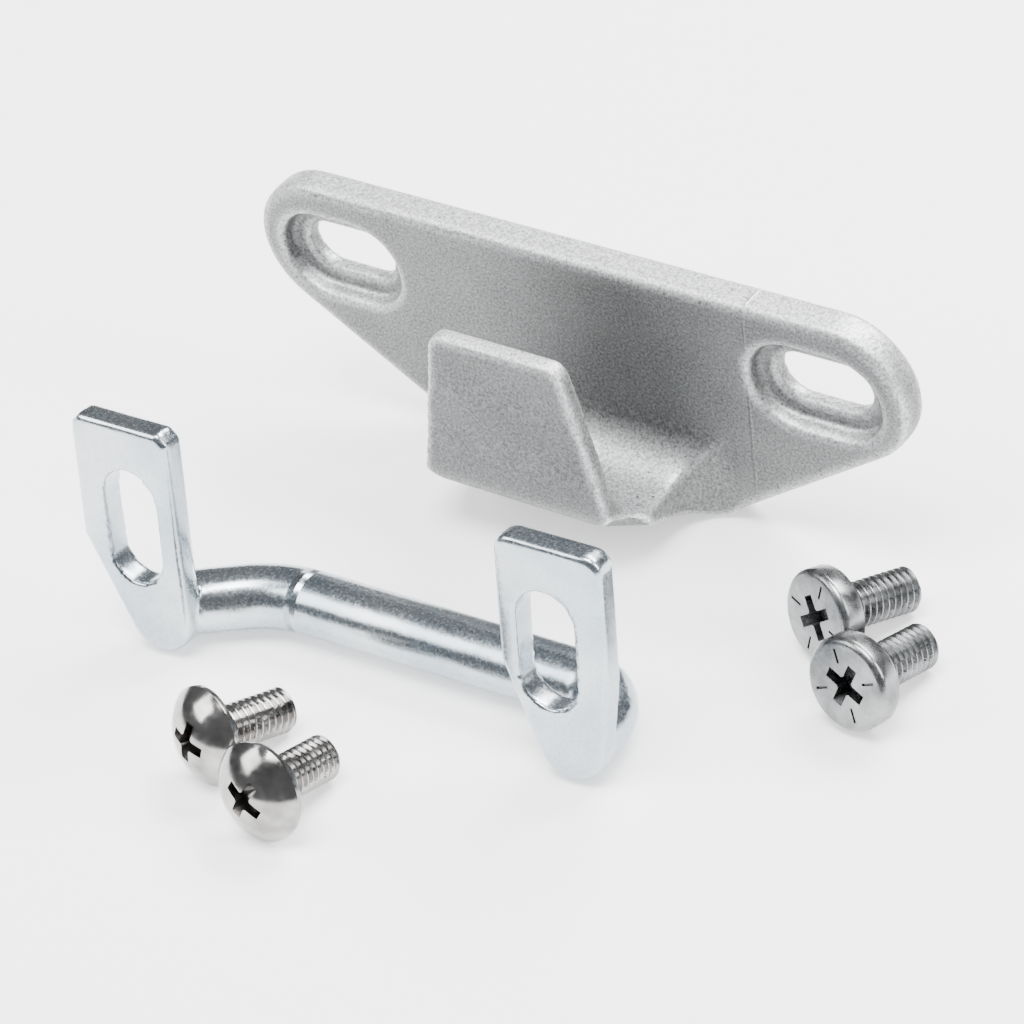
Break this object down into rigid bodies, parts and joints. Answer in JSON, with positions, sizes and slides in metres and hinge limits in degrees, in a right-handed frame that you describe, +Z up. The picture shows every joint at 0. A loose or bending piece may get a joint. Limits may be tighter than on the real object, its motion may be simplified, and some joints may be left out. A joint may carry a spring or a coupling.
{
  "type": "stair gate latch",
  "caption": "Stair gate latch set: a slotted catch plate with an upturned hook, a round-wire striker bail with two slotted lugs, and cross-recess machine screws, laid out loose.",
  "frame": {"origin": "centre of the catch plate's back face, midway between its two slots", "axes": "+X along the plate, +Y out of its back face into the wall, +Z up; the hook points to -Y and opens upwards"},
  "size_m": [0.1157, 0.0833, 0.0369],
  "materials": {
    "catch_casting": "fine-grained satin grey casting, tumbled bright on its edges",
    "bail_zinc": "bright bluish zinc plating on forged steel wire",
    "pan_screw_steel": "plated steel, satin face, darker threads",
    "domed_screw_steel": "polished plated steel"
  },
  "bodies": {
    "catch": {"catch_plate": "catch_casting"},
    "bail": {"striker_bail": "bail_zinc"},
    "pan_screw_front": {"pan_screw_front": "pan_screw_steel"},
    "pan_screw_rear": {"pan_screw_rear": "pan_screw_steel"},
    "domed_screw_front": {"domed_screw_front": "domed_screw_steel"},
    "domed_screw_rear": {"domed_screw_rear": "domed_screw_steel"}
  },
  "joints": [
    {"name": "bail_lift", "type": "slide", "parent": "catch", "child": "bail", "axis": [0, 0, 1], "range_m": [0, 0.03]},
    {"name": "pan_screw_front_turn", "type": "hinge", "parent": "catch", "child": "pan_screw_front", "pos_m": [0.058, -0.0303, -0.01965], "axis": [0.1336, 0.9509, -0.2793], "continuous": true},
    {"name": "pan_screw_rear_turn", "type": "hinge", "parent": "catch", "child": "pan_screw_rear", "pos_m": [0.0484, -0.0211, -0.01965], "axis": [0.3284, 0.9023, -0.2793], "continuous": true},
    {"name": "domed_screw_front_turn", "type": "hinge", "parent": "catch", "child": "domed_screw_front", "pos_m": [0.0007, -0.0792, -0.01933], "axis": [0.0332, 0.9498, -0.311], "continuous": true},
    {"name": "domed_screw_rear_turn", "type": "hinge", "parent": "catch", "child": "domed_screw_rear", "pos_m": [-0.012, -0.0738, -0.01933], "axis": [0.2299, 0.9222, -0.311], "continuous": true}
  ]
}
